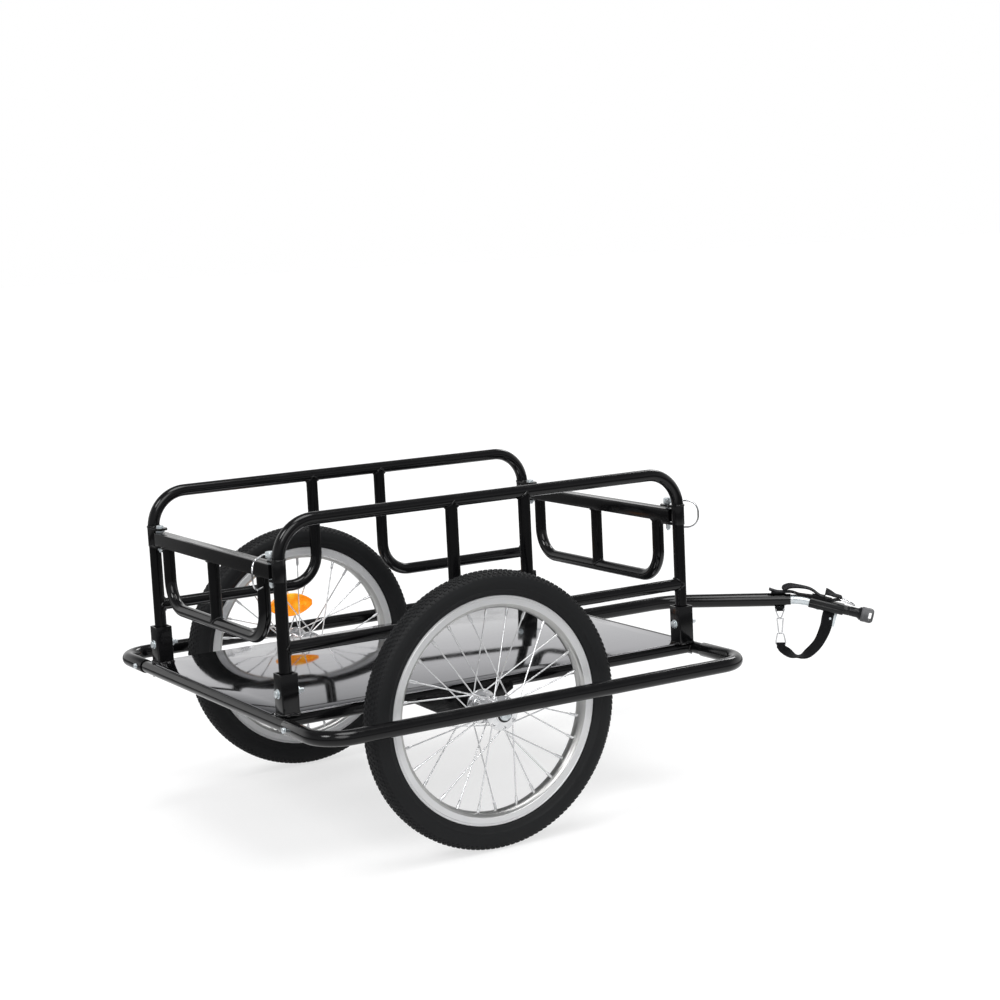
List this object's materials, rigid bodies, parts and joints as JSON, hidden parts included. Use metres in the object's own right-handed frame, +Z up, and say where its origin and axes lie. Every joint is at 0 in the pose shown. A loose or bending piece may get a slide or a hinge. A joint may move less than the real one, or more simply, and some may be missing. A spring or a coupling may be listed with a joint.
{
  "type": "bicycle cargo trailer",
  "caption": "Two-wheeled bicycle cargo trailer: tube frame, sheet deck, side panels, swinging end gates, bent drawbar with hitch.",
  "frame": {"origin": "on the ground under the middle of the trailer's outline", "axes": "+X forwards to the hitch, +Y to the trailer's left, +Z up"},
  "size_m": [1.2356, 0.7296, 0.4817],
  "materials": {
    "black_paint": "gloss powder coat",
    "zinc": "bluish zinc plating",
    "chrome": "bright plated wire",
    "deck_metal": "smooth bright sheet",
    "rim_alloy": "satin",
    "tyre_rubber": "matte black rubber",
    "amber_lens": "clear amber reflector",
    "webbing": "woven black nylon webbing",
    "black_block": "satin black",
    "grey_plastic": "matte dark grey"
  },
  "bodies": {
    "frame": {"rear_cross_tube": "black_paint", "front_cross_tube": "black_paint", "middle_cross_tube": "black_paint", "left_side_rail": "black_paint", "right_side_rail": "black_paint", "left_wheel_guard": "black_paint", "right_wheel_guard": "black_paint", "left_guard_bolt": "zinc", "right_guard_bolt": "zinc", "deck_plate": "deck_metal", "rear_left_post_socket": "black_paint", "rear_right_post_socket": "black_paint", "front_left_post_socket": "black_paint", "front_right_post_socket": "black_paint", "left_axle_bracket": "black_paint", "right_axle_bracket": "black_paint", "left_axle": "zinc", "right_axle": "zinc", "left_side_hoop": "black_paint", "right_side_hoop": "black_paint", "left_rear_infill_tube": "black_paint", "left_front_infill_tube": "black_paint", "right_rear_infill_tube": "black_paint", "right_front_infill_tube": "black_paint", "rear_left_leg_bolt": "zinc", "rear_right_leg_bolt": "zinc", "front_left_leg_bolt": "zinc", "front_right_leg_bolt": "zinc", "rear_gate_hinge_bracket": "black_paint", "front_gate_hinge_bracket": "black_paint", "rear_gate_catch": "black_paint", "front_gate_catch": "black_paint", "rear_gate_hinge_bolt": "zinc", "front_gate_hinge_bolt": "zinc", "drawbar_receiver": "black_paint", "drawbar": "black_paint", "drawbar_bolt": "zinc", "coupler_sleeve": "zinc", "coupler_block": "black_block", "coupler_strap": "webbing", "safety_strap": "webbing", "snap_hook": "chrome", "strap_ring": "chrome", "strap_tab": "zinc"},
    "left_wheel": {"left_tyre": "tyre_rubber", "left_rim": "rim_alloy", "left_hub_and_spokes": "rim_alloy", "left_wheel_reflector": "amber_lens"},
    "right_wheel": {"right_tyre": "tyre_rubber", "right_rim": "rim_alloy", "right_hub_and_spokes": "rim_alloy"},
    "rear_gate": {"rear_gate_bar": "black_paint", "rear_gate_loop": "black_paint"},
    "front_gate": {"front_gate_bar": "black_paint", "front_gate_loop": "black_paint"},
    "rear_lock_pin": {"rear_lock_pin": "zinc"},
    "front_lock_pin": {"front_lock_pin": "zinc"},
    "rear_lock_bow": {"rear_lock_bow": "chrome"},
    "front_lock_bow": {"front_lock_bow": "chrome"},
    "hitch_cap": {"hitch_cap": "grey_plastic"}
  },
  "joints": [
    {"name": "left_wheel_spin", "type": "hinge", "parent": "frame", "child": "left_wheel", "pos_m": [-0.31001, 0.295, 0.1925], "axis": [0, 1, 0], "continuous": true},
    {"name": "right_wheel_spin", "type": "hinge", "parent": "frame", "child": "right_wheel", "pos_m": [-0.31001, -0.295, 0.1925], "axis": [0, 1, 0], "continuous": true},
    {"name": "rear_gate_swing", "type": "hinge", "parent": "frame", "child": "rear_gate", "pos_m": [-0.57601, 0.192, 0.4075], "axis": [0, 0, -1], "range_deg": [0, 110]},
    {"name": "front_gate_swing", "type": "hinge", "parent": "frame", "child": "front_gate", "pos_m": [0.06999, 0.192, 0.4075], "axis": [0, 0, 1], "range_deg": [0, 110]},
    {"name": "rear_lock_pin_lift", "type": "slide", "parent": "rear_gate", "child": "rear_lock_pin", "axis": [0, 0, 1], "range_m": [0, 0.05]},
    {"name": "front_lock_pin_lift", "type": "slide", "parent": "front_gate", "child": "front_lock_pin", "axis": [0, 0, 1], "range_m": [0, 0.05]},
    {"name": "rear_lock_bow_swing", "type": "hinge", "parent": "rear_lock_pin", "child": "rear_lock_bow", "pos_m": [-0.57601, -0.192, 0.42815], "axis": [-0.7071, 0.7071, 0], "range_deg": [0, 100]},
    {"name": "front_lock_bow_swing", "type": "hinge", "parent": "front_lock_pin", "child": "front_lock_bow", "pos_m": [0.06999, -0.192, 0.42815], "axis": [-0.7071, -0.7071, 0], "range_deg": [0, 100]},
    {"name": "hitch_cap_swivel", "type": "hinge", "parent": "frame", "child": "hitch_cap", "pos_m": [0.60227, -0.0234, 0.15509], "axis": [0.7399, -0.6209, -0.2588], "continuous": true}
  ]
}
